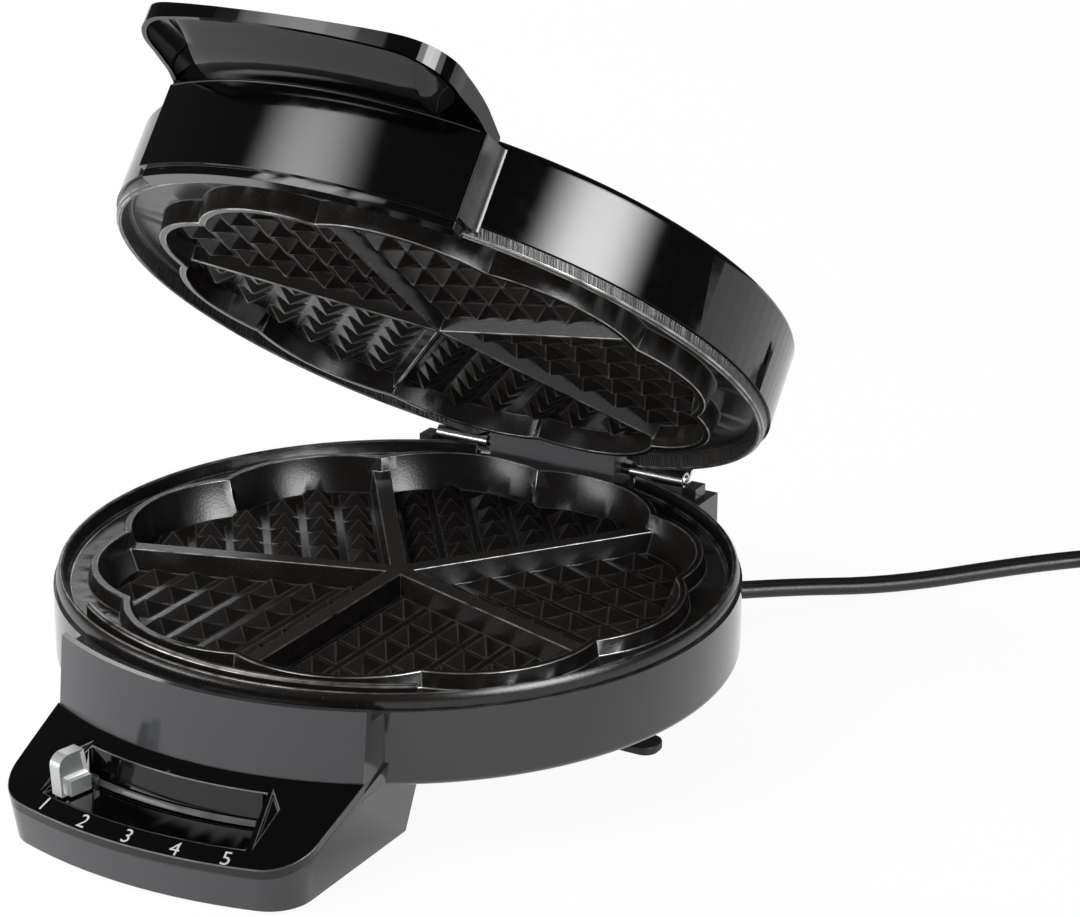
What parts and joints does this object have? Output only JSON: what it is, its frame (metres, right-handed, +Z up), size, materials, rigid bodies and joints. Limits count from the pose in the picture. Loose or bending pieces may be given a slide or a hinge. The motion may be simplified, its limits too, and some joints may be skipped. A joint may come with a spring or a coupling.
{
  "type": "heart waffle maker",
  "caption": "Round heart waffle maker with an opening lid, cast heart-pattern plates, a sliding heat knob and a mains cord.",
  "frame": {"origin": "on the table, under the centre of the object's bounding box with the lid half open, the cord, coil, plug and gland left out", "axes": "+Z up, -Y towards the control panel and handle, +X to the user's right as they face the panel, hinge pin along X"},
  "size_m": [0.3373, 0.4339, 0.2152],
  "materials": {
    "housing_grey": "satin anthracite plastic",
    "lid_black": "high gloss black plastic",
    "nonstick_cast": "cast aluminium with dark non-stick coat",
    "panel_black": "gloss black",
    "knob_silver": "silver paint on plastic",
    "steel": "bright steel",
    "zinc_sheet": "coated sheet",
    "black_rubber": "soft black",
    "hidden_black": "matte black plastic",
    "cord_black": "flexible black sheath",
    "terminal_white": "ceramic white",
    "lens_red": "translucent red",
    "lens_green": "translucent green",
    "brass_pins": "nickel plated"
  },
  "bodies": {
    "base": {"base_housing": "housing_grey", "box_cover": "hidden_black", "control_panel": "panel_black", "cord_coil": "cord_black", "cord_gland": "black_rubber", "cord_hooks": "hidden_black", "front_feet": "black_rubber", "hinge_block": "housing_grey", "hinge_pin": "steel", "lower_element": "steel", "lower_heat_shield": "zinc_sheet", "lower_plate": "nonstick_cast", "lower_plate_screws": "steel", "mains_plug": "cord_black", "plug_pins": "brass_pins", "power_cord": "cord_black", "rear_feet": "black_rubber", "rear_pedestal": "hidden_black", "terminal_block": "terminal_white", "thermal_fuse": "terminal_white", "thermostat_body": "terminal_white"},
    "lid": {"lid_ring": "lid_black", "lid_cover": "lid_black", "upper_plate": "nonstick_cast", "upper_element": "steel", "upper_heat_shield": "zinc_sheet", "upper_plate_screws": "steel", "hinge_leaves": "steel", "hinge_leaf_screws": "steel", "lamp_lens_red": "lens_red", "lamp_lens_green": "lens_green"},
    "heat_slider": {"temperature_knob": "knob_silver", "lever_arm": "steel", "thermostat_spindle": "steel"}
  },
  "joints": [
    {"name": "lid_hinge", "type": "hinge", "parent": "base", "child": "lid", "pos_m": [0, 0.10455, 0.0473], "axis": [-1, 0, 0], "range_deg": [-38.9, 61.1]},
    {"name": "temperature_lever", "type": "hinge", "parent": "base", "child": "heat_slider", "pos_m": [0, 0.01015, 0.0254], "axis": [0, 0, 1], "range_deg": [0, 24.4]}
  ]
}
